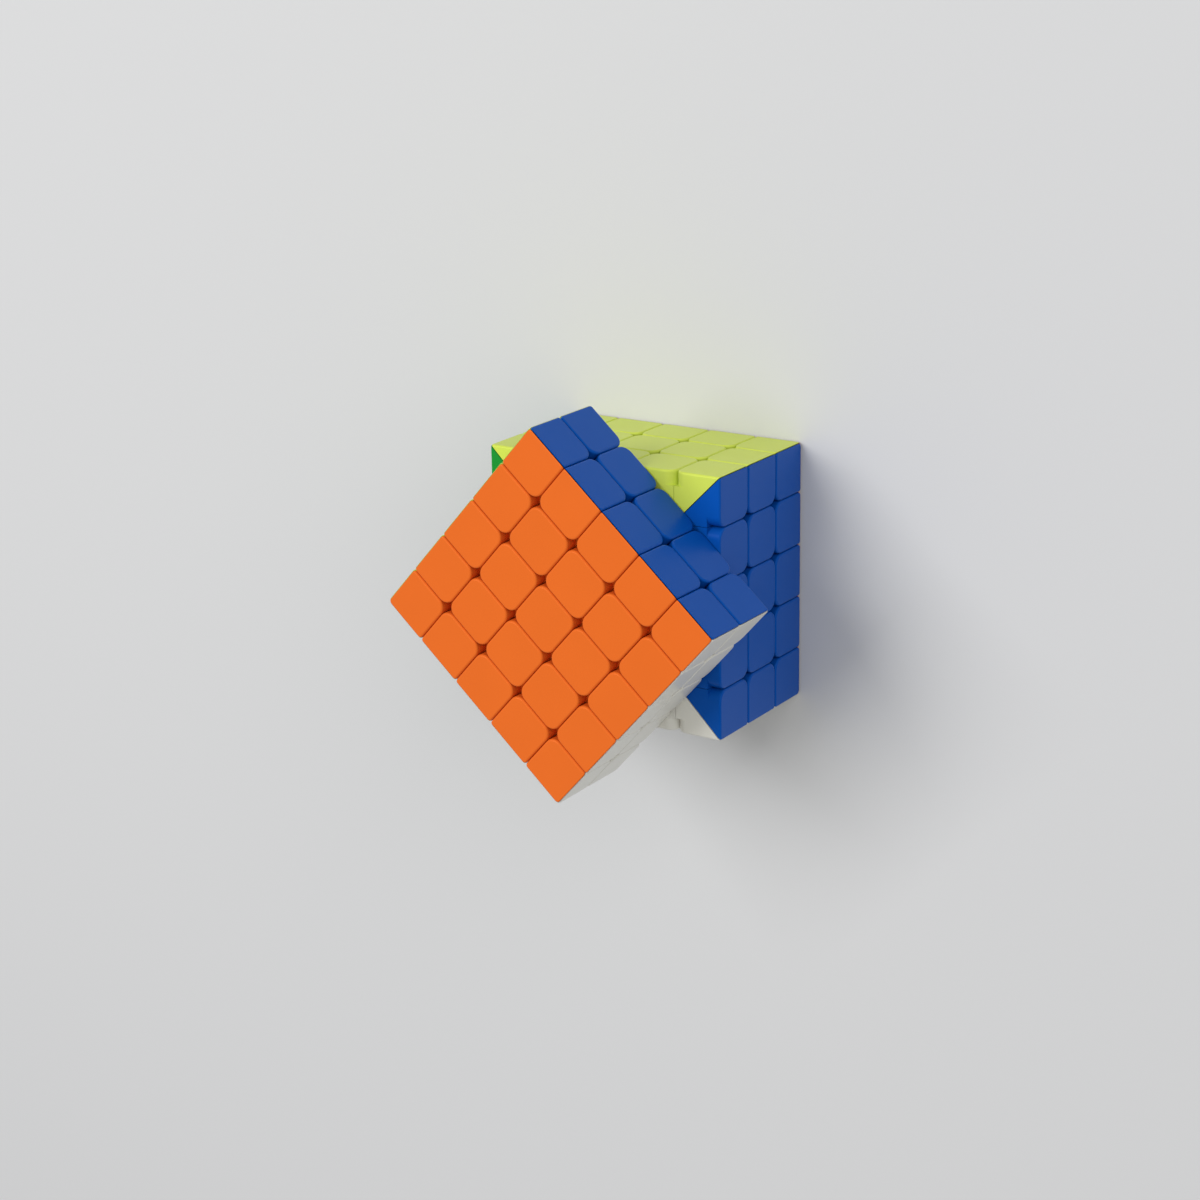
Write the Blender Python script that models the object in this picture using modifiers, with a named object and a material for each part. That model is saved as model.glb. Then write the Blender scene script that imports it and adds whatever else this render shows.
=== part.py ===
"""Twisty puzzle cube with five layers each way.

The cube lies on its red back face. +Z is the axis that the layers turn about, +X is the blue side and +Y
the yellow side. The two front layers, at the top, are turned together against the other three.
"""

import math

import bmesh
import bpy
from mathutils import Matrix

MM = 0.001

# Driving dimensions.
SIZE = 62.0 * MM
INNER_PITCH = 12.7 * MM
GAP = 0.3 * MM
TWIST = math.radians(48.3)
SHELL_DEPTH = 8.0 * MM
JUNCTION_RADIUS = 2.0 * MM
EDGE_RADIUS = 0.5 * MM
SEAM_DEPTH = 1.5 * MM

# Where the cube is cut, measured from its centre.
HALF = SIZE / 2
INNER_CUT = INNER_PITCH / 2
OUTER_CUT = 3 * INNER_PITCH / 2
CLEAR = GAP / 2
SHELL_FLOOR = HALF - SHELL_DEPTH

# Core, screws and springs, measured outwards along each of the six arms.
CORE_RADIUS = 7.0 * MM
ARM_RADIUS = 3.2 * MM
ARM_END = 13.0 * MM
BORE_RADIUS = 1.5 * MM
BORE_BOTTOM = 4.5 * MM
SHANK_RADIUS = 1.2 * MM
SHANK_START = 5.0 * MM
HEAD_RADIUS = 3.0 * MM
HEAD_HEIGHT = 2.0 * MM
RECESS_WIDTH = 0.8 * MM
RECESS_LENGTH = 3.6 * MM
RECESS_DEPTH = 1.0 * MM
SPRING_RADIUS = 2.3 * MM
WIRE_RADIUS = 0.35 * MM
SPRING_LENGTH = 6.4 * MM
SPRING_TURNS = 4
POINTS_PER_TURN = 8

# Stems of the fixed centres.
STEM_RADIUS = 5.0 * MM
STEM_START = ARM_END + GAP
STEM_FLOOR = 2.0 * MM
WELL_RADIUS = 3.6 * MM
WELL_END = 27.5 * MM
CAP_THICKNESS = 2.8 * MM
PLUG_RADIUS = 3.2 * MM
PLUG_LENGTH = 2.2 * MM
HEAD_START = STEM_START + STEM_FLOOR + SPRING_LENGTH + 2 * GAP

# Feet that hold the pieces in, as sectors of rings about the turning axis.
INNER_FOOT = (7.1 * MM, 13.9 * MM)
OUTER_FOOT = (14.4 * MM, 18.2 * MM)
WIDE_FOOT = (8.0 * MM, 18.2 * MM)
CORNER_FOOT_SPREAD = math.radians(20)
SIDE_FOOT_SPREAD = math.radians(23)
CENTRE_FOOT_SPREAD = math.radians(20)
UPPER_FOOT_START = 13.6 * MM
LOWER_FOOT_END = 13.0 * MM
NECK_RADIUS = 1.8 * MM
NECK_DISTANCE = 11.9 * MM
NECK_OVERLAP = 2.0 * MM
BEAM_START = 16.3 * MM
CORNER_BEAM_END = 29.0 * MM
SIDE_BEAM_END = 24.6 * MM
CORNER_BEAM_WIDTH = 4.0 * MM
SIDE_BEAM_WIDTH = 14.0 * MM
BEAM_HEIGHT = 3.0 * MM
LOWER_BEAM_START = 8.5 * MM

ARC_STEPS = 3
ROUND_SEGMENTS = 16
OVERRUN = 2.0 * MM

QUARTER = math.pi / 2
SIDES = ("blue", "yellow", "green", "white")
COLOURS = {
    "orange": (0.80, 0.17, 0.025),
    "blue": (0.004, 0.075, 0.34),
    "yellow": (0.60, 0.68, 0.05),
    "green": (0.008, 0.30, 0.035),
    "white": (0.78, 0.78, 0.74),
    "red": (0.55, 0.012, 0.015),
}


# Scene and objects


def clear_scene():
    for old in list(bpy.data.objects):
        bpy.data.objects.remove(old)


def new_collection(name):
    collection = bpy.data.collections.new(name)
    bpy.context.scene.collection.children.link(collection)
    return collection


def new_material(name, colour, roughness, metallic):
    material = bpy.data.materials.new(name)
    material.use_nodes = True
    shader = material.node_tree.nodes["Principled BSDF"]
    shader.inputs["Base Color"].default_value = (*colour, 1)
    shader.inputs["Roughness"].default_value = roughness
    shader.inputs["Metallic"].default_value = metallic
    material.diffuse_color = (*colour, 1)
    return material


def plastic(name):
    return new_material(name + "_plastic", COLOURS[name], roughness=0.32, metallic=0)


def steel(name):
    return new_material(name, (0.62, 0.62, 0.63), roughness=0.3, metallic=1)


def place(name, data, collection, layer, turn):
    """Adds an object whose origin is the cube's centre, turned about Z inside its layer."""
    piece = bpy.data.objects.new(name, data)
    collection.objects.link(piece)
    piece.parent = layer
    piece.rotation_euler = (0, 0, turn)
    return piece


def helper(shape, layer, turn):
    """A hidden object that a Boolean modifier joins to a part or cuts from it."""
    tool = place("tool", shape, tools, layer, turn)
    tool.hide_render = True
    tool.display_type = "WIRE"
    return tool


def mesh_from(bm, name):
    bmesh.ops.recalc_face_normals(bm, faces=bm.faces)
    mesh = bpy.data.meshes.new(name)
    bm.to_mesh(mesh)
    bm.free()
    return mesh


def part(name, shape, material, layer, turn=0):
    shape.name = name
    shape.materials.append(material)
    return place(name, shape, parts, layer, turn)


def combine(piece, operation, shape, turn=None):
    """Joins a shape to a part, or cuts it away. The shape is turned as the part is, unless told."""
    angle = piece.rotation_euler.z if turn is None else turn
    modifier = piece.modifiers.new(operation.lower(), "BOOLEAN")
    modifier.operation = operation
    modifier.solver = "EXACT"
    modifier.object = helper(shape, piece.parent, angle)


# Shapes


def cuboid(low, high):
    middle = [(a + b) / 2 for a, b in zip(low, high)]
    sides = [abs(b - a) for a, b in zip(low, high)]
    bm = bmesh.new()
    bmesh.ops.create_cube(bm, size=1, matrix=Matrix.Translation(middle) @ Matrix.Diagonal((*sides, 1)))
    return mesh_from(bm, "cuboid")


def cylinder(radius, start, end, axis="Z", centre=(0, 0)):
    """A cylinder from start to end along the Z axis, or along the X axis."""
    bm = bmesh.new()
    bmesh.ops.create_cone(
        bm,
        cap_ends=True,
        segments=ROUND_SEGMENTS,
        radius1=radius,
        radius2=radius,
        depth=abs(end - start),
        matrix=Matrix.Translation((*centre, (start + end) / 2)),
    )
    if axis == "X":
        bmesh.ops.rotate(bm, verts=bm.verts, matrix=Matrix.Rotation(QUARTER, 3, "Y"))
    return mesh_from(bm, "cylinder")


def prism(outline, low, high):
    """A flat outline given as (x, y) points, drawn up from one height to another."""
    bm = bmesh.new()
    base = bm.faces.new([bm.verts.new((x, y, low)) for x, y in outline])
    grown = bmesh.ops.extrude_face_region(bm, geom=[base])
    top = [item for item in grown["geom"] if isinstance(item, bmesh.types.BMVert)]
    bmesh.ops.translate(bm, verts=top, vec=(0, 0, high - low))
    return mesh_from(bm, "prism")


def arc(centre, radius, start, end, steps=ARC_STEPS):
    angles = [start + (end - start) * step / steps for step in range(steps + 1)]
    return [(centre[0] + radius * math.cos(a), centre[1] + radius * math.sin(a)) for a in angles]


def rounded_rectangle(low, high, radii):
    """Radii run anticlockwise from the corner that is farthest out in both directions."""
    outline = []
    for number, radius in enumerate(radii):
        right = number in (0, 3)
        upper = number in (0, 1)
        x = high[0] - radius if right else low[0] + radius
        y = high[1] - radius if upper else low[1] + radius
        outline += arc((x, y), radius, number * QUARTER, (number + 1) * QUARTER)
    return outline


def ring_sector(radii, spread):
    inner, outer = radii
    steps = 2 * ARC_STEPS
    return arc((0, 0), outer, -spread, spread, steps) + arc((0, 0), inner, spread, -spread, steps)


def heights(end, start, stop):
    """A stretch of heights, mirrored for the back half of the cube where end is -1."""
    return sorted((end * start, end * stop))


# Features that several parts share


def add_foot(piece, radii, spread, low, high, turn):
    combine(piece, "UNION", prism(ring_sector(radii, spread), low, high), turn)


def add_beam(piece, far_end, width, low, high, turn):
    shape = cuboid((BEAM_START, -width / 2, low), (far_end, width / 2, high))
    combine(piece, "UNION", shape, turn)


def cut_seams(piece, positions, low, high):
    """Narrow seams down the side of a part that stands for several pieces in a row."""
    for y in positions:
        combine(piece, "DIFFERENCE", cuboid((HALF - SEAM_DEPTH, y - CLEAR, low), (HALF + OVERRUN, y + CLEAR, high)))


def cut_face_seams(piece, positions, end):
    """The same seams across the front or back face."""
    low, high = heights(end, HALF - SEAM_DEPTH, HALF + OVERRUN)
    for y in positions:
        shape = cuboid((OUTER_CUT - OVERRUN, y - CLEAR, low), (HALF + OVERRUN, y + CLEAR, high))
        combine(piece, "DIFFERENCE", shape)


def relieve_underside(piece, end):
    """Room below a shell for the beams of its neighbours."""
    low, high = heights(end, OUTER_CUT - OVERRUN, SHELL_FLOOR - CLEAR)
    reach = SHELL_FLOOR - CLEAR
    combine(piece, "DIFFERENCE", cuboid((-reach, -reach, low), (reach, reach, high)))


def add_stem(piece, axis, sign=1):
    """The stem of a fixed centre, hollow for the screw and the spring."""
    stem = cylinder(STEM_RADIUS, sign * STEM_START, sign * (SHELL_FLOOR + OVERRUN), axis)
    combine(piece, "UNION", stem)
    well = cylinder(WELL_RADIUS, sign * (STEM_START + STEM_FLOOR), sign * WELL_END, axis)
    combine(piece, "DIFFERENCE", well)
    bore = cylinder(BORE_RADIUS, sign * (STEM_START - OVERRUN), sign * (STEM_START + STEM_FLOOR + OVERRUN), axis)
    combine(piece, "DIFFERENCE", bore)


# The mechanism in the middle


def make_core(layer):
    bm = bmesh.new()
    bmesh.ops.create_uvsphere(bm, u_segments=ROUND_SEGMENTS, v_segments=ROUND_SEGMENTS // 2, radius=CORE_RADIUS)
    core = part("core", mesh_from(bm, "core"), new_material("core_plastic", (0.05, 0.05, 0.055), 0.5, 0), layer)
    combine(core, "UNION", cylinder(ARM_RADIUS, -ARM_END, ARM_END))
    for turn in (0, QUARTER):
        combine(core, "UNION", cylinder(ARM_RADIUS, -ARM_END, ARM_END, "X"), turn)
    for sign in (1, -1):
        start = sign * BORE_BOTTOM
        end = sign * (ARM_END + OVERRUN)
        combine(core, "DIFFERENCE", cylinder(BORE_RADIUS, start, end))
        for turn in (0, QUARTER):
            combine(core, "DIFFERENCE", cylinder(BORE_RADIUS, start, end, "X"), turn)


def arm_directions():
    """The name and the rotation of each of the six arms, from +Z."""
    directions = {"front": (0, 0, 0), "back": (math.pi, 0, 0)}
    for number, side in enumerate(SIDES):
        directions[side] = (0, QUARTER, number * QUARTER)
    return directions


def screw_profile():
    """Half the outline of a pan-head screw that stands along Z."""
    tip = SHANK_START + SHANK_RADIUS
    top = HEAD_START + HEAD_HEIGHT
    return [
        (0, top),
        (HEAD_RADIUS * 0.7, top),
        (HEAD_RADIUS, top - HEAD_HEIGHT * 0.4),
        (HEAD_RADIUS, HEAD_START),
        (SHANK_RADIUS, HEAD_START),
        (SHANK_RADIUS, tip),
        (0, SHANK_START),
    ]


def make_screw(name, rotation, material, layer):
    bm = bmesh.new()
    verts = [bm.verts.new((x, 0, z)) for x, z in screw_profile()]
    for first, second in zip(verts, verts[1:]):
        bm.edges.new((first, second))
    mesh = bpy.data.meshes.new(name)
    bm.to_mesh(mesh)
    bm.free()
    screw = part(name, mesh, material, layer)
    screw.rotation_euler = rotation
    turned = screw.modifiers.new("turned", "SCREW")
    turned.steps = ROUND_SEGMENTS // 2
    turned.render_steps = ROUND_SEGMENTS // 2
    turned.use_merge_vertices = True
    turned.merge_threshold = 0.01 * MM
    top = HEAD_START + HEAD_HEIGHT
    for width, length in ((RECESS_WIDTH, RECESS_LENGTH), (RECESS_LENGTH, RECESS_WIDTH)):
        shape = cuboid((-width / 2, -length / 2, top - RECESS_DEPTH), (width / 2, length / 2, top + OVERRUN))
        combine(screw, "DIFFERENCE", shape)
        screw.modifiers[-1].object.rotation_euler = rotation


def make_spring(name, rotation, material, layer):
    curve = bpy.data.curves.new(name, "CURVE")
    curve.dimensions = "3D"
    curve.bevel_depth = WIRE_RADIUS
    curve.bevel_resolution = 2
    curve.use_fill_caps = True
    wire = curve.splines.new("POLY")
    count = SPRING_TURNS * POINTS_PER_TURN
    wire.points.add(count)
    start = STEM_START + STEM_FLOOR + GAP + WIRE_RADIUS
    rise = SPRING_LENGTH - 2 * WIRE_RADIUS
    for step, point in enumerate(wire.points):
        angle = 2 * math.pi * step / POINTS_PER_TURN
        height = start + rise * step / count
        point.co = (SPRING_RADIUS * math.cos(angle), SPRING_RADIUS * math.sin(angle), height, 1)
    curve.materials.append(material)
    spring = place(name, curve, parts, layer, 0)
    spring.rotation_euler = rotation


# Pieces of the front and back layers


def corner_outline():
    low = (OUTER_CUT + CLEAR, OUTER_CUT + CLEAR)
    return rounded_rectangle(low, (HALF, HALF), (EDGE_RADIUS, EDGE_RADIUS, JUNCTION_RADIUS, EDGE_RADIUS))


def make_corner(name, end, material, layer, turn):
    low, high = heights(end, OUTER_CUT + CLEAR, HALF)
    corner = part(name, prism(corner_outline(), low, high), material, layer, turn)
    middle = turn + QUARTER / 2
    low, high = heights(end, SHELL_FLOOR - GAP - BEAM_HEIGHT, SHELL_FLOOR - GAP)
    add_beam(corner, CORNER_BEAM_END, CORNER_BEAM_WIDTH, low, high, middle)
    low, high = heights(end, UPPER_FOOT_START, SHELL_FLOOR - GAP)
    add_foot(corner, OUTER_FOOT, CORNER_FOOT_SPREAD, low, high, middle)


def make_front_edge(name, material, layer, turn):
    """A middle edge and its two wings."""
    reach = OUTER_CUT - CLEAR
    radii = (EDGE_RADIUS, JUNCTION_RADIUS, JUNCTION_RADIUS, EDGE_RADIUS)
    outline = rounded_rectangle((OUTER_CUT + CLEAR, -reach), (HALF, reach), radii)
    edge = part(name, prism(outline, OUTER_CUT + CLEAR, HALF), material, layer, turn)
    relieve_underside(edge, 1)
    cut_seams(edge, (-INNER_CUT, INNER_CUT), OUTER_CUT - OVERRUN, HALF + OVERRUN)
    cut_face_seams(edge, (-INNER_CUT, INNER_CUT), 1)
    top = SHELL_FLOOR - GAP
    add_beam(edge, SIDE_BEAM_END, SIDE_BEAM_WIDTH, top - BEAM_HEIGHT, top, turn)
    add_foot(edge, OUTER_FOOT, SIDE_FOOT_SPREAD, UPPER_FOOT_START, top, turn)


def make_front_centre(name, low, high, material, layer, turn, foot_turn):
    """One loose centre of the front face, with its foot."""
    outline = rounded_rectangle(low, high, (JUNCTION_RADIUS,) * 4)
    centre = part(name, prism(outline, SHELL_FLOOR, HALF), material, layer, turn)
    neck = cylinder(NECK_RADIUS, SHELL_FLOOR - NECK_OVERLAP, SHELL_FLOOR + NECK_OVERLAP, "Z", (NECK_DISTANCE, 0))
    combine(centre, "UNION", neck, foot_turn)
    add_foot(centre, INNER_FOOT, CENTRE_FOOT_SPREAD, UPPER_FOOT_START, SHELL_FLOOR - GAP, foot_turn)


def square_outline():
    reach = INNER_CUT - CLEAR
    return rounded_rectangle((-reach, -reach), (reach, reach), (JUNCTION_RADIUS,) * 4)


def make_front_fixed_centre(material, layer):
    top = HALF - CAP_THICKNESS - GAP
    centre = part("front_fixed_centre", prism(square_outline(), SHELL_FLOOR, top), material, layer)
    stem = cylinder(STEM_RADIUS, STEM_START, SHELL_FLOOR + OVERRUN)
    combine(centre, "UNION", stem)
    combine(centre, "DIFFERENCE", cylinder(WELL_RADIUS, STEM_START + STEM_FLOOR, top + OVERRUN))
    bore = cylinder(BORE_RADIUS, STEM_START - OVERRUN, STEM_START + STEM_FLOOR + OVERRUN)
    combine(centre, "DIFFERENCE", bore)


def make_front_centre_cap(material, layer):
    floor = HALF - CAP_THICKNESS
    cap = part("front_centre_cap", prism(square_outline(), floor, HALF), material, layer)
    combine(cap, "UNION", cylinder(PLUG_RADIUS, floor - PLUG_LENGTH, floor + CAP_THICKNESS / 2))


def plus_outline():
    """The back layer without its four corners."""
    far = HALF
    near = OUTER_CUT - CLEAR
    quarter = [(far, -near), (far, near), (near, near)]
    outline = []
    for number in range(4):
        cosine = round(math.cos(number * QUARTER))
        sine = round(math.sin(number * QUARTER))
        outline += [(x * cosine - y * sine, x * sine + y * cosine) for x, y in quarter]
    return outline


def make_back_plate(material, layer):
    """The 21 pieces of the back layer other than its corners, with the seams between them."""
    plate = part("back_centres_and_edges", prism(plus_outline(), -HALF, -OUTER_CUT - CLEAR), material, layer)
    relieve_underside(plate, -1)
    foot = cylinder(INNER_FOOT[1], -UPPER_FOOT_START, -SHELL_FLOOR - NECK_OVERLAP)
    combine(plate, "UNION", foot)
    inside = cylinder(INNER_FOOT[0], -UPPER_FOOT_START + OVERRUN, -SHELL_FLOOR)
    combine(plate, "DIFFERENCE", inside)
    add_stem(plate, "Z", -1)
    reach = HALF + OVERRUN
    for turn in (0, QUARTER):
        for cut in (-OUTER_CUT, -INNER_CUT, INNER_CUT, OUTER_CUT):
            length = reach if abs(cut) < OUTER_CUT else OUTER_CUT
            low = (-length, cut - CLEAR, -reach)
            high = (length, cut + CLEAR, -HALF + SEAM_DEPTH)
            combine(plate, "DIFFERENCE", cuboid(low, high), turn)
    for number in range(4):
        for cut in (-INNER_CUT, INNER_CUT):
            low = (HALF - SEAM_DEPTH, cut - CLEAR, -reach)
            high = (reach, cut + CLEAR, -OUTER_CUT + OVERRUN)
            combine(plate, "DIFFERENCE", cuboid(low, high), number * QUARTER)


# Pieces of the three layers between them


def make_wing(name, low, high, foot, beam, material, layer, turn):
    """A two-coloured piece on one of the long edges that run along Z."""
    wing = part(name, prism(corner_outline(), low, high), material, layer, turn)
    middle = turn + QUARTER / 2
    add_beam(wing, CORNER_BEAM_END, CORNER_BEAM_WIDTH, beam[0], beam[1], middle)
    add_foot(wing, OUTER_FOOT, CORNER_FOOT_SPREAD, foot[0], foot[1], middle)


def side_plate(name, low, high, material, layer, turn):
    """Three centres in a row on one side, with seams between them."""
    reach = OUTER_CUT - CLEAR
    radii = (EDGE_RADIUS,) * 4
    outline = rounded_rectangle((SHELL_FLOOR, -reach), (HALF, reach), radii)
    plate = part(name, prism(outline, low, high), material, layer, turn)
    cut_seams(plate, (-INNER_CUT, INNER_CUT), low - OVERRUN, high + OVERRUN)
    return plate


def make_side_centres(name, low, high, foot, beam, material, layer, turn):
    plate = side_plate(name, low, high, material, layer, turn)
    add_beam(plate, SIDE_BEAM_END, SIDE_BEAM_WIDTH, beam[0], beam[1], turn)
    add_foot(plate, WIDE_FOOT, SIDE_FOOT_SPREAD, foot[0], foot[1], turn)


# Layers


def side_pairs():
    """Each side with its quarter turn and the corner name that it shares with the next side."""
    for number, side in enumerate(SIDES):
        following = SIDES[(number + 1) % len(SIDES)]
        yield side, side + "_" + following, number * QUARTER


def make_mechanism(layer):
    make_core(layer)
    for name, rotation in arm_directions().items():
        make_screw("screw_" + name, rotation, screw_steel, layer)
        make_spring("spring_" + name, rotation, spring_steel, layer)


def make_front_layer(layer):
    orange = plastics["orange"]
    near = INNER_CUT + CLEAR
    far = OUTER_CUT - CLEAR
    for side, pair, turn in side_pairs():
        make_corner("front_corner_" + pair, 1, orange, layer, turn)
        make_front_edge("front_edges_" + side, orange, layer, turn)
        low = (near, CLEAR - INNER_CUT)
        high = (far, INNER_CUT - CLEAR)
        make_front_centre("front_t_centre_" + side, low, high, orange, layer, turn, turn)
        middle = turn + QUARTER / 2
        make_front_centre("front_x_centre_" + pair, (near, near), (far, far), orange, layer, turn, middle)
    make_front_fixed_centre(orange, layer)
    make_front_centre_cap(orange, layer)


def make_inner_layer(word, end, layer):
    """The second or the fourth layer."""
    low, high = heights(end, INNER_CUT + CLEAR, OUTER_CUT - CLEAR)
    foot = heights(end, INNER_CUT + GAP, LOWER_FOOT_END)
    beam = heights(end, LOWER_BEAM_START, LOWER_BEAM_START + BEAM_HEIGHT)
    for side, pair, turn in side_pairs():
        colour = plastics[side]
        make_wing(word + "_wing_" + pair, low, high, foot, beam, colour, layer, turn)
        make_side_centres(word + "_centres_" + side, low, high, foot, beam, colour, layer, turn)


def make_middle_layer(layer):
    low = CLEAR - INNER_CUT
    high = INNER_CUT - CLEAR
    foot = (low + CLEAR, high - CLEAR)
    beam = (-BEAM_HEIGHT / 2, BEAM_HEIGHT / 2)
    for side, pair, turn in side_pairs():
        colour = plastics[side]
        make_wing("middle_edge_" + pair, low, high, foot, beam, colour, layer, turn)
        plate = side_plate("middle_centres_" + side, low, high, colour, layer, turn)
        add_stem(plate, "X")


def make_back_layer(layer):
    red = plastics["red"]
    for side, pair, turn in side_pairs():
        make_corner("back_corner_" + pair, -1, red, layer, turn)
    make_back_plate(red, layer)


def new_layer(name, turn):
    """An empty on the turning axis that carries a layer's parts."""
    axis = bpy.data.objects.new(name + "_axis", None)
    axis.empty_display_size = CORE_RADIUS
    axis.rotation_euler = (0, 0, turn)
    parts.objects.link(axis)
    return axis


clear_scene()
parts = new_collection("puzzle_cube")
tools = new_collection("cutters")
plastics = {name: plastic(name) for name in COLOURS}
screw_steel = steel("screw_steel")
spring_steel = steel("spring_steel")

make_mechanism(new_layer("core", 0))
make_front_layer(new_layer("front_layer", TWIST))
make_inner_layer("second", 1, new_layer("second_layer", TWIST))
make_middle_layer(new_layer("middle_layer", 0))
make_inner_layer("fourth", -1, new_layer("fourth_layer", 0))
make_back_layer(new_layer("back_layer", 0))
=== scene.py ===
"""The looks of the twisty puzzle cube: 98 pieces of coloured plastic and their feet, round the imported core,
screws and springs. Lengths are in metres. The cube rests on its back face, with the turning axis upright.
"""

import math

import bmesh
import bpy
from mathutils import Matrix, Vector


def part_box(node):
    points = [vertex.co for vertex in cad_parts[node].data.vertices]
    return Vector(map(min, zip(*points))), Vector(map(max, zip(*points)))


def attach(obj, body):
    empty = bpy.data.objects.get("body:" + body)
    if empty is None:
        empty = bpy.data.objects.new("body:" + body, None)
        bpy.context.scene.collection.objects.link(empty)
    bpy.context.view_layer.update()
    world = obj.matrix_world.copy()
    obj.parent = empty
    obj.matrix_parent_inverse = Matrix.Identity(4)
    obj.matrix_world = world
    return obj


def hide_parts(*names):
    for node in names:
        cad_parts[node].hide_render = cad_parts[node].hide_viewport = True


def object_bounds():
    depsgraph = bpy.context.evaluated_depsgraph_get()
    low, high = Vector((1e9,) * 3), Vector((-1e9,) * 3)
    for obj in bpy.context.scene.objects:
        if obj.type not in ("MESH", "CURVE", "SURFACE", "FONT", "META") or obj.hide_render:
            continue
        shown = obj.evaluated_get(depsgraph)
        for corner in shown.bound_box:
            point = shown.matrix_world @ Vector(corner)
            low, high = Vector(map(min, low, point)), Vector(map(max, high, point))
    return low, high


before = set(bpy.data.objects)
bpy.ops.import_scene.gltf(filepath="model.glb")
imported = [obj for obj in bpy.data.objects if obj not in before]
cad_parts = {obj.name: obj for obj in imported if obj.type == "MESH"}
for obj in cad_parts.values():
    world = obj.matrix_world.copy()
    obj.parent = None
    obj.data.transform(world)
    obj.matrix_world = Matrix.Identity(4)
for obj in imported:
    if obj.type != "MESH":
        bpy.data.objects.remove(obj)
cad_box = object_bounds()

MM = 0.001
QUARTER = math.pi / 2
TINY = 0.001 * MM

# Sizes that follow from the frame: the cuts lie halfway between nodes that keep a gap.
CAD_GAP = 0.3 * MM
HALF = cad_box[1].z
INNER_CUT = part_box("middle_centres_blue")[1].z + CAD_GAP / 2
OUTER_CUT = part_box("middle_centres_blue")[1].y + CAD_GAP / 2
CUTS = (-HALF, -OUTER_CUT, -INNER_CUT, INNER_CUT, OUTER_CUT, HALF)
RIM = 2
OUTER_WIDTH = HALF - OUTER_CUT
INNER_WIDTH = 2 * INNER_CUT
TWIST = math.radians(48.3)

# Details of one piece. A tile has a wide-rounded corner where four tiles meet, a small one where a seam
# meets the cube's edge, and a middling one at the cube's own corner.
CLEAR = 0.06 * MM
JUNCTION_RADIUS = 2.6 * MM
SEAM_RADIUS = 0.8 * MM
CORNER_RADIUS = 1.2 * MM
JUNCTION_DEPTH = 3.4 * MM
EDGE_ROUNDING = 0.55 * MM
ROUND_PROFILE = 0.5
MITRE_GAP = 0.22 * MM
OVERRUN = 1.0 * MM
FOOT_ROOT = 0.4 * MM
ARC_STEPS = 7
BEVEL_STEPS = 4
SHARP_ANGLE = math.radians(40)
FLAT_ANGLE = math.radians(1)

# Each layer's body and twist, by its place along the turning axis.
LAYERS = {
    2: ("front_layer", TWIST),
    1: ("second_layer", TWIST),
    0: ("core_and_middle_layer", 0),
    -1: ("fourth_layer", 0),
    -2: ("back_layer", 0),
}
LAYER_PLACES = {"front": 2, "second": 1, "middle": 0, "fourth": -1, "back": -2}

# The colour of each face of the cube, by its axis and sign.
FACE_COLOURS = {
    (2, 1): "orange",
    (2, -1): "red",
    (0, 1): "blue",
    (0, -1): "green",
    (1, 1): "yellow",
    (1, -1): "white",
}
COLOURS = {
    "orange": (0.76, 0.145, 0.018),
    "blue": (0.002, 0.08, 0.40),
    "yellow": (0.62, 0.72, 0.10),
    "green": (0.012, 0.27, 0.035),
    "white": (0.78, 0.765, 0.69),
    "red": (0.55, 0.012, 0.012),
}

# Coloured plastic. The noise scales are in cells a metre.
NOISE_RANGE = (0.15, 0.85)
FLOW_SCALE = 60
SMUDGE_SCALE = 80
CLOUD_DETAIL = 2
GRAIN_SCALE = 900
GRAIN_DETAIL = 1
GRAIN_STRENGTH = 0.1
GRAIN_HEIGHT = 0.02 * MM
FLOW_SHADES = (0.97, 1.02)
PLASTIC_ROUGHNESS = (0.29, 0.37)
PLASTIC_SPECULAR = 0.4
CLEAR_GLOSS = 0.1

# Black nylon of the core and the feet.
NYLON_DARK = (0.012, 0.012, 0.014)
NYLON_LIGHT = (0.03, 0.03, 0.033)
NYLON_SCALE = 300
NYLON_DETAIL = 4
NYLON_ROUGHNESS = (0.45, 0.6)

# Steel.
ZINC_COLOUR = (0.66, 0.67, 0.69)
ZINC_ROUGHNESS = (0.28, 0.42)
WIRE_COLOUR = (0.72, 0.72, 0.71)
WIRE_ROUGHNESS = (0.18, 0.3)
DRAWN_SCALE = 900
DRAWN_DETAIL = 5
DRAWN_SHADE = 0.8

# Stage: each light's place, the side of its square, and its power in watts.
FLOOR_HALF_WIDTH = 12
FLOOR_GAP = 0.05 * MM
FLOOR_GREY = 0.63
FLOOR_ROUGHNESS = 0.9
LIGHTS = {
    "key": ((-0.5, 0.5, 1.3), 0.9, 15),
    "fill": ((0.9, 0.6, 1.0), 1.2, 6),
}
SKY_COLOUR = (0.97, 0.98, 1)
SKY_STRENGTH = 0.4

# The view: the cube is turned by these angles before a camera that looks along -Z.
VIEW_PITCH = math.radians(17.59)
VIEW_YAW = math.radians(-33.36)
VIEW_ROLL = math.radians(1.02)
VIEW_DISTANCE = 46.59 * INNER_WIDTH
VIEW_OFFSET = (0.343 * INNER_WIDTH, 0.290 * INNER_WIDTH)
FOCAL_RATIO = 2.1245
SENSOR_WIDTH = 36
NEAREST = 0.01
FARTHEST = 10


# Materials


def new_material(name):
    material = bpy.data.materials.new(name)
    material.use_nodes = True
    nodes = material.node_tree.nodes
    return material, nodes, material.node_tree.links, nodes["Principled BSDF"]


def add_noise(nodes, links, vector, scale, detail):
    noise = nodes.new("ShaderNodeTexNoise")
    noise.inputs["Scale"].default_value = scale
    noise.inputs["Detail"].default_value = detail
    links.new(vector, noise.inputs["Vector"])
    return noise.outputs["Fac"]


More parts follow.
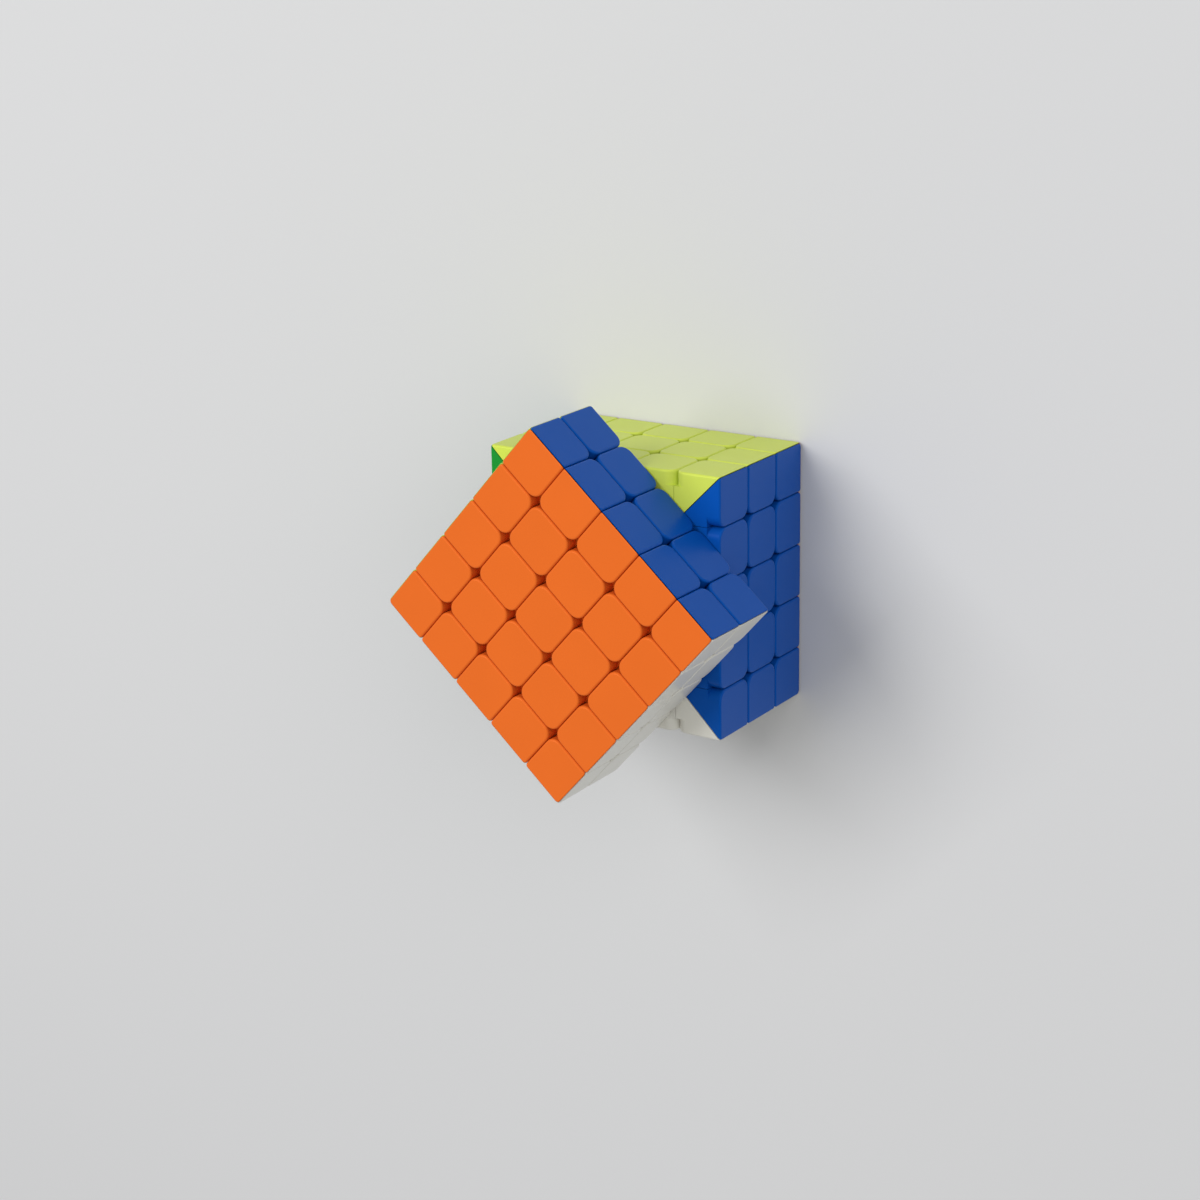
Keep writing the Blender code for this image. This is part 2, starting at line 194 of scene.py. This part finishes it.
def add_range(nodes, links, value, limits):
    """The noise, spread so that it runs between the two limits."""
    spread = nodes.new("ShaderNodeMapRange")
    spread.inputs["From Min"].default_value = NOISE_RANGE[0]
    spread.inputs["From Max"].default_value = NOISE_RANGE[1]
    spread.inputs["To Min"].default_value = limits[0]
    spread.inputs["To Max"].default_value = limits[1]
    links.new(value, spread.inputs["Value"])
    return spread.outputs["Result"]


def shaded(colour, factor):
    return [channel * factor for channel in colour]


def mix_colours(nodes, links, factor, first, second, shader):
    """Gives the shader a colour that runs from the first to the second with the factor."""
    mix = nodes.new("ShaderNodeMix")
    mix.data_type = "RGBA"
    mix.inputs["A"].default_value = (*first, 1)
    mix.inputs["B"].default_value = (*second, 1)
    links.new(factor, mix.inputs["Factor"])
    links.new(mix.outputs["Result"], shader.inputs["Base Color"])


def piece_coordinates(nodes, links):
    """Object coordinates, shifted by a different amount on each piece, so no two have the same pattern."""
    coordinates = nodes.new("ShaderNodeTexCoord")
    info = nodes.new("ShaderNodeObjectInfo")
    shift = nodes.new("ShaderNodeVectorMath")
    shift.operation = "ADD"
    links.new(coordinates.outputs["Object"], shift.inputs[0])
    links.new(info.outputs["Random"], shift.inputs[1])
    return shift.outputs["Vector"]


def add_grain(nodes, links, vector, shader):
    bump = nodes.new("ShaderNodeBump")
    bump.inputs["Strength"].default_value = GRAIN_STRENGTH
    bump.inputs["Distance"].default_value = GRAIN_HEIGHT
    links.new(add_noise(nodes, links, vector, GRAIN_SCALE, GRAIN_DETAIL), bump.inputs["Height"])
    links.new(bump.outputs["Normal"], shader.inputs["Normal"])


def plastic(name, colour):
    """Moulded plastic, coloured through: a soft gloss with faint flow marks and a fine grain."""
    material, nodes, links, shader = new_material(name + "_plastic")
    vector = piece_coordinates(nodes, links)
    flow = add_range(nodes, links, add_noise(nodes, links, vector, FLOW_SCALE, CLOUD_DETAIL), (0, 1))
    dark, light = [shaded(colour, factor) for factor in FLOW_SHADES]
    mix_colours(nodes, links, flow, dark, light, shader)
    smudge = add_noise(nodes, links, vector, SMUDGE_SCALE, CLOUD_DETAIL)
    links.new(add_range(nodes, links, smudge, PLASTIC_ROUGHNESS), shader.inputs["Roughness"])
    add_grain(nodes, links, vector, shader)
    tint = [CLEAR_GLOSS + (1 - CLEAR_GLOSS) * channel for channel in colour]
    shader.inputs["Specular IOR Level"].default_value = PLASTIC_SPECULAR
    shader.inputs["Specular Tint"].default_value = (*tint, 1)
    return material


def core_plastic():
    """Black nylon with a cloudy, duller surface."""
    material, nodes, links, shader = new_material("core_nylon")
    vector = piece_coordinates(nodes, links)
    cloud = add_noise(nodes, links, vector, NYLON_SCALE, NYLON_DETAIL)
    mix_colours(nodes, links, cloud, NYLON_DARK, NYLON_LIGHT, shader)
    links.new(add_range(nodes, links, cloud, NYLON_ROUGHNESS), shader.inputs["Roughness"])
    return material


def steel(name, colour, roughness):
    """Drawn steel, darker and duller in the marks."""
    material, nodes, links, shader = new_material(name)
    vector = piece_coordinates(nodes, links)
    drawn = add_noise(nodes, links, vector, DRAWN_SCALE, DRAWN_DETAIL)
    mix_colours(nodes, links, drawn, shaded(colour, DRAWN_SHADE), colour, shader)
    links.new(add_range(nodes, links, drawn, roughness), shader.inputs["Roughness"])
    shader.inputs["Metallic"].default_value = 1
    return material


# The three shapes of a piece, in its own frame: a centre looks along +Z, an edge along +X and +Z, a corner
# along all three axes.


def shape_limits(outer):
    """The lowest and highest corner of a block, with a gap on each side that faces a neighbour."""
    low = []
    high = []
    for axis in range(3):
        if axis in outer:
            low.append(-OUTER_WIDTH / 2 + CLEAR)
            high.append(OUTER_WIDTH / 2)
        else:
            low.append(-INNER_WIDTH / 2 + CLEAR)
            high.append(INNER_WIDTH / 2 - CLEAR)
    return low, high


def add_spandrel(bm, across, corner, signs, radius, along, low, high):
    """The bit to take off a tile's square corner to leave a round one, as a closed prism in bm."""
    first, second = across
    middle = [corner[0] - signs[0] * radius, corner[1] - signs[1] * radius]
    points = []
    for step in range(ARC_STEPS + 1):
        angle = QUARTER * step / ARC_STEPS
        points.append((
            middle[0] + signs[0] * radius * math.cos(angle),
            middle[1] + signs[1] * radius * math.sin(angle),
        ))
    beyond = (corner[0] + signs[0] * OVERRUN, corner[1] + signs[1] * OVERRUN)
    points += [(middle[0], beyond[1]), beyond, (beyond[0], middle[1])]
    verts = []
    for u, v in points:
        place = [0, 0, 0]
        place[first] = u
        place[second] = v
        place[along] = low
        verts.append(bm.verts.new(place))
    base = bm.faces.new(verts)
    grown = bmesh.ops.extrude_face_region(bm, geom=[base])
    top = [item for item in grown["geom"] if isinstance(item, bmesh.types.BMVert)]
    push = [0, 0, 0]
    push[along] = high - low
    bmesh.ops.translate(bm, verts=top, vec=push)


def new_mesh(bm, name):
    bmesh.ops.recalc_face_normals(bm, faces=bm.faces)
    mesh = bpy.data.meshes.new(name)
    bm.to_mesh(mesh)
    bm.free()
    return mesh


def spandrels(own, outer, low, high):
    """Cutters for the four corners of one tile: wide where four tiles meet, small at the cube's edges."""
    bm = bmesh.new()
    across = [axis for axis in range(3) if axis != own]
    for first in (-1, 1):
        for second in (-1, 1):
            corner = ((low, high)[first > 0][across[0]], (low, high)[second > 0][across[1]])
            cube_edges = (first > 0 and across[0] in outer) + (second > 0 and across[1] in outer)
            radius = (JUNCTION_RADIUS, SEAM_RADIUS, CORNER_RADIUS)[cube_edges]
            bottom = low[own] - OVERRUN if cube_edges else high[own] - JUNCTION_DEPTH
            add_spandrel(bm, across, corner, (first, second), radius, own, bottom, high[own] + OVERRUN)
    return new_mesh(bm, "spandrels")


def evaluated_mesh(thing):
    """A new mesh of the object as its modifiers leave it."""
    bpy.context.view_layer.update()
    graph = bpy.context.evaluated_depsgraph_get()
    return bpy.data.meshes.new_from_object(thing.evaluated_get(graph))


def add_boolean(thing, name, operation, other):
    boolean = thing.modifiers.new(name, "BOOLEAN")
    boolean.operation = operation
    boolean.solver = "EXACT"
    boolean.object = other


def linked_object(name, mesh):
    thing = bpy.data.objects.new(name, mesh)
    bpy.context.scene.collection.objects.link(thing)
    return thing


def sharp_block(own, outer, low, high):
    """A sharp-edged box with the corners of one of its faces rounded off."""
    bm = bmesh.new()
    size = [b - a for a, b in zip(low, high)]
    middle = [(a + b) / 2 for a, b in zip(low, high)]
    bmesh.ops.create_cube(bm, size=1, matrix=Matrix.Translation(middle) @ Matrix.Diagonal((*size, 1)))
    piece = linked_object("block", new_mesh(bm, "block"))
    cutter = linked_object("cutter", spandrels(own, outer, low, high))
    add_boolean(piece, "tile_corners", "DIFFERENCE", cutter)
    mesh = evaluated_mesh(piece)
    for thing in (piece, cutter):
        bpy.data.objects.remove(thing)
    return mesh


def block(own, outer):
    """A box with one tile on it: round tile corners and softened tile edges."""
    low, high = shape_limits(outer)
    bm = bmesh.new()
    bm.from_mesh(sharp_block(own, outer, low, high))
    bmesh.ops.remove_doubles(bm, verts=bm.verts, dist=TINY)
    bmesh.ops.dissolve_limit(bm, angle_limit=FLAT_ANGLE, verts=bm.verts, edges=bm.edges)
    bm.normal_update()
    rim = []
    for edge in bm.edges:
        if all(abs(vert.co[own] - high[own]) < TINY for vert in edge.verts):
            rim.append(edge)
    bmesh.ops.bevel(
        bm,
        geom=rim,
        offset=EDGE_ROUNDING,
        offset_type="OFFSET",
        segments=BEVEL_STEPS,
        profile=ROUND_PROFILE,
        affect="EDGES",
        clamp_overlap=False,
    )
    return bm


def cut_shell(bm, own, others, middle):
    """Leaves the shell of one colour: what lies nearer to its own face than to the other coloured faces."""
    for other in others:
        normal = Vector((0, 0, 0))
        normal[other] = 1
        normal[own] = -1
        normal.normalize()
        point = -middle - normal * MITRE_GAP / 2
        geometry = bm.verts[:] + bm.edges[:] + bm.faces[:]
        cut = bmesh.ops.bisect_plane(
            bm, geom=geometry, dist=TINY, plane_co=point, plane_no=normal, clear_outer=True
        )
        rim = [item for item in cut["geom_cut"] if isinstance(item, bmesh.types.BMEdge)]
        bmesh.ops.holes_fill(bm, edges=rim)
    for face in bm.faces:
        face.material_index = own


def piece_mesh(outer):
    """All the shells of one piece in one mesh, each with the material slot of its own axis."""
    distance = {True: (HALF + OUTER_CUT) / 2, False: 0}
    middle = Vector([distance[axis in outer] for axis in range(3)])
    joined = bpy.data.meshes.new("piece")
    together = bmesh.new()
    for own in outer:
        shell = block(own, outer)
        cut_shell(shell, own, [axis for axis in outer if axis != own], middle)
        part = bpy.data.meshes.new("shell")
        shell.to_mesh(part)
        shell.free()
        together.from_mesh(part)
    bmesh.ops.recalc_face_normals(together, faces=together.faces)
    together.to_mesh(joined)
    together.free()
    return joined


# Placing the pieces


def direction(axis, sign):
    out = Vector((0, 0, 0))
    out[axis] = sign
    return out


def orientation(faces):
    """The rotation that takes a shape's own outward axes to the faces that a piece has."""
    if len(faces) == 1:
        z = direction(*faces[0])
        x = direction((faces[0][0] + 1) % 3, 1)
        return Matrix((x, z.cross(x), z)).transposed(), [None, None, faces[0]]
    if len(faces) == 2:
        x = direction(*faces[0])
        z = direction(*faces[1])
        return Matrix((x, z.cross(x), z)).transposed(), [faces[0], None, faces[1]]
    x, y, z = [direction(*face) for face in faces]
    if x.cross(y).dot(z) < 0:
        faces = [faces[1], faces[0], faces[2]]
        x, y = y, x
    return Matrix((x, y, z)).transposed(), faces


def cell_middle(index):
    """Where the cell's middle is. An index runs from -2 to 2 along each axis."""
    return Vector([(CUTS[i + RIM] + CUTS[i + RIM + 1]) / 2 for i in index])


def piece_kind(index):
    """The name that puzzlers use, from how far out the cell is along each axis."""
    outward = sorted(abs(i) for i in index)
    return {
        (2, 2, 2): "corner",
        (1, 2, 2): "wing",
        (0, 2, 2): "middle_edge",
        (1, 1, 2): "x_centre",
        (0, 1, 2): "t_centre",
        (0, 0, 2): "fixed_centre",
    }[tuple(outward)]


def side_of(index):
    """The side, of the four round the turning axis, that a cell's row of three belongs to."""
    axis = 0 if abs(index[0]) == RIM else 1
    return FACE_COLOURS[(axis, 1 if index[axis] > 0 else -1)]


def quarter_pair(index):
    """The two sides, in turning order, on either side of a cell's diagonal."""
    pairs = {(1, 1): "blue_yellow", (-1, 1): "yellow_green", (-1, -1): "green_white", (1, -1): "white_blue"}
    return pairs[(1 if index[0] > 0 else -1, 1 if index[1] > 0 else -1)]


def side_towards(index):
    """The side that a centre next to the fixed one points to."""
    axis = 0 if index[0] else 1
    return FACE_COLOURS[(axis, 1 if index[axis] > 0 else -1)]


def front_nodes(index):
    across = sorted((abs(index[0]), abs(index[1])))
    if across == [RIM, RIM]:
        return ["front_corner_" + quarter_pair(index)]
    if across[1] == RIM:
        return ["front_edges_" + side_of(index)]
    if across == [1, 1]:
        return ["front_x_centre_" + quarter_pair(index)]
    if across == [0, 1]:
        return ["front_t_centre_" + side_towards(index)]
    return ["front_fixed_centre", "front_centre_cap"]


def cad_nodes(index):
    """The CAD nodes that a piece stands for, alone or with its neighbours."""
    on_edge = abs(index[0]) == RIM and abs(index[1]) == RIM
    if index[2] == RIM:
        return front_nodes(index)
    if index[2] == -RIM:
        return ["back_corner_" + quarter_pair(index)] if on_edge else ["back_centres_and_edges"]
    if index[2] == 0:
        return ["middle_edge_" + quarter_pair(index)] if on_edge else ["middle_centres_" + side_of(index)]
    word = "second" if index[2] == 1 else "fourth"
    return [word + "_wing_" + quarter_pair(index)] if on_edge else [word + "_centres_" + side_of(index)]


def make_piece(index, shapes, plastics, names):
    """One coloured piece in its cell, riding on its layer."""
    faces = [(axis, 1 if index[axis] > 0 else -1) for axis in range(3) if abs(index[axis]) == RIM]
    turn, slots = orientation(faces)
    colours = [FACE_COLOURS[face] for face in faces]
    base = piece_kind(index) + "_" + "_".join(colours)
    names[base] = names.get(base, 0) + 1
    mesh = shapes[len(faces)].copy()
    piece = linked_object(base + "_" + str(names[base]), mesh)
    mesh.name = piece.name
    for face in slots:
        mesh.materials.append(plastics[FACE_COLOURS[face]] if face else plastics[colours[0]])
    body, twist = LAYERS[index[2]]
    twisting = Matrix.Rotation(twist, 4, "Z")
    piece.matrix_world = twisting @ Matrix.Translation(cell_middle(index)) @ turn.to_4x4()
    smooth(piece)
    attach(piece, body)
    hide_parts(*cad_nodes(index))


def smooth(piece):
    """Smooth shading over the roundings, with flat faces kept flat."""
    for polygon in piece.data.polygons:
        polygon.use_smooth = True
    piece.data.set_sharp_from_angle(angle=SHARP_ANGLE)
    weighted = piece.modifiers.new("flat_faces", "WEIGHTED_NORMAL")
    weighted.keep_sharp = True


def make_cube():
    plastics = {name: plastic(name, colour) for name, colour in COLOURS.items()}
    shapes = {1: piece_mesh((2,)), 2: piece_mesh((0, 2)), 3: piece_mesh((0, 1, 2))}
    names = {}
    span = range(-RIM, RIM + 1)
    for index in [(i, j, k) for k in span for j in span for i in span]:
        if RIM in (abs(i) for i in index):
            make_piece(index, shapes, plastics, names)


def inner_box(twist):
    """The hollow inside the coloured blocks, and a little of them, as an object that limits the feet."""
    bm = bmesh.new()
    bmesh.ops.create_cube(bm, size=2 * (OUTER_CUT + FOOT_ROOT), matrix=Matrix.Rotation(twist, 4, "Z"))
    return linked_object("inner_box", new_mesh(bm, "inner_box"))


def make_feet(name, node, body, box, nylon):
    """The feet, stems and beams by which one solid is held: what it has inside the coloured blocks."""
    feet = linked_object("feet_of_" + name, node.data.copy())
    feet.matrix_world = node.matrix_world
    add_boolean(feet, "inside_only", "INTERSECT", box)
    feet.data = evaluated_mesh(feet)
    feet.modifiers.clear()
    feet.data.name = feet.name
    feet.data.materials.clear()
    feet.data.materials.append(nylon)
    for polygon in feet.data.polygons:
        polygon.material_index = 0
    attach(feet, body)
    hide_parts(name)


def make_all_feet(nylon):
    """The feet of every node of a layer but the cap, which has none."""
    boxes = {twist: inner_box(twist) for twist in (0, TWIST)}
    for name, node in list(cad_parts.items()):
        layer = name.split("_")[0]
        if layer in LAYER_PLACES and not name.endswith("cap"):
            body, twist = LAYERS[LAYER_PLACES[layer]]
            make_feet(name, node, body, boxes[twist], nylon)
    for box in boxes.values():
        bpy.data.objects.remove(box)


def finish_mechanism():
    """The feet, and better materials on the core, the screws and the springs."""
    nylon = core_plastic()
    make_all_feet(nylon)
    materials = {
        "core": nylon,
        "screw": steel("zinc_plated_steel", ZINC_COLOUR, ZINC_ROUGHNESS),
        "spring": steel("spring_wire", WIRE_COLOUR, WIRE_ROUGHNESS),
    }
    for name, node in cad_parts.items():
        kind = name.split("_")[0]
        if kind in materials:
            node.data.materials.clear()
            node.data.materials.append(materials[kind])


# Stage


def make_floor():
    bm = bmesh.new()
    bmesh.ops.create_grid(bm, x_segments=1, y_segments=1, size=FLOOR_HALF_WIDTH)
    floor = linked_object("floor", new_mesh(bm, "floor"))
    floor.location.z = -HALF - FLOOR_GAP
    material, _, _, shader = new_material("pale_floor")
    shader.inputs["Base Color"].default_value = (FLOOR_GREY, FLOOR_GREY, FLOOR_GREY, 1)
    shader.inputs["Roughness"].default_value = FLOOR_ROUGHNESS
    shader.inputs["Specular IOR Level"].default_value = 0
    floor.data.materials.append(material)


def add_light(name, position, size, power):
    """A square soft light that faces the cube."""
    data = bpy.data.lights.new(name, "AREA")
    data.shape = "SQUARE"
    data.size = size
    data.energy = power
    light = linked_object(name, data)
    light.location = position
    light.rotation_euler = (-Vector(position)).to_track_quat("-Z", "Y").to_euler()


def make_lights():
    for name, (position, size, power) in LIGHTS.items():
        add_light(name, position, size, power)
    world = bpy.data.worlds.new("studio")
    bpy.context.scene.world = world
    world.use_nodes = True
    background = world.node_tree.nodes["Background"]
    background.inputs["Color"].default_value = (*SKY_COLOUR, 1)
    background.inputs["Strength"].default_value = SKY_STRENGTH


def make_camera():
    data = bpy.data.cameras.new("camera")
    data.sensor_width = SENSOR_WIDTH
    data.lens = FOCAL_RATIO * SENSOR_WIDTH
    data.clip_start = NEAREST
    data.clip_end = FARTHEST
    camera = linked_object("camera", data)
    turn = (
        Matrix.Rotation(VIEW_ROLL, 3, "Z")
        @ Matrix.Rotation(VIEW_PITCH, 3, "X")
        @ Matrix.Rotation(VIEW_YAW, 3, "Y")
    ).transposed()
    place = turn @ Vector((-VIEW_OFFSET[0], -VIEW_OFFSET[1], VIEW_DISTANCE))
    camera.matrix_world = Matrix.Translation(place) @ turn.to_4x4()
    bpy.context.scene.camera = camera


make_camera()
make_cube()
finish_mechanism()
make_floor()
make_lights()

# With the Standard transform, a material's base colour is the colour of the real plastic.
bpy.context.scene.view_settings.view_transform = "Standard"
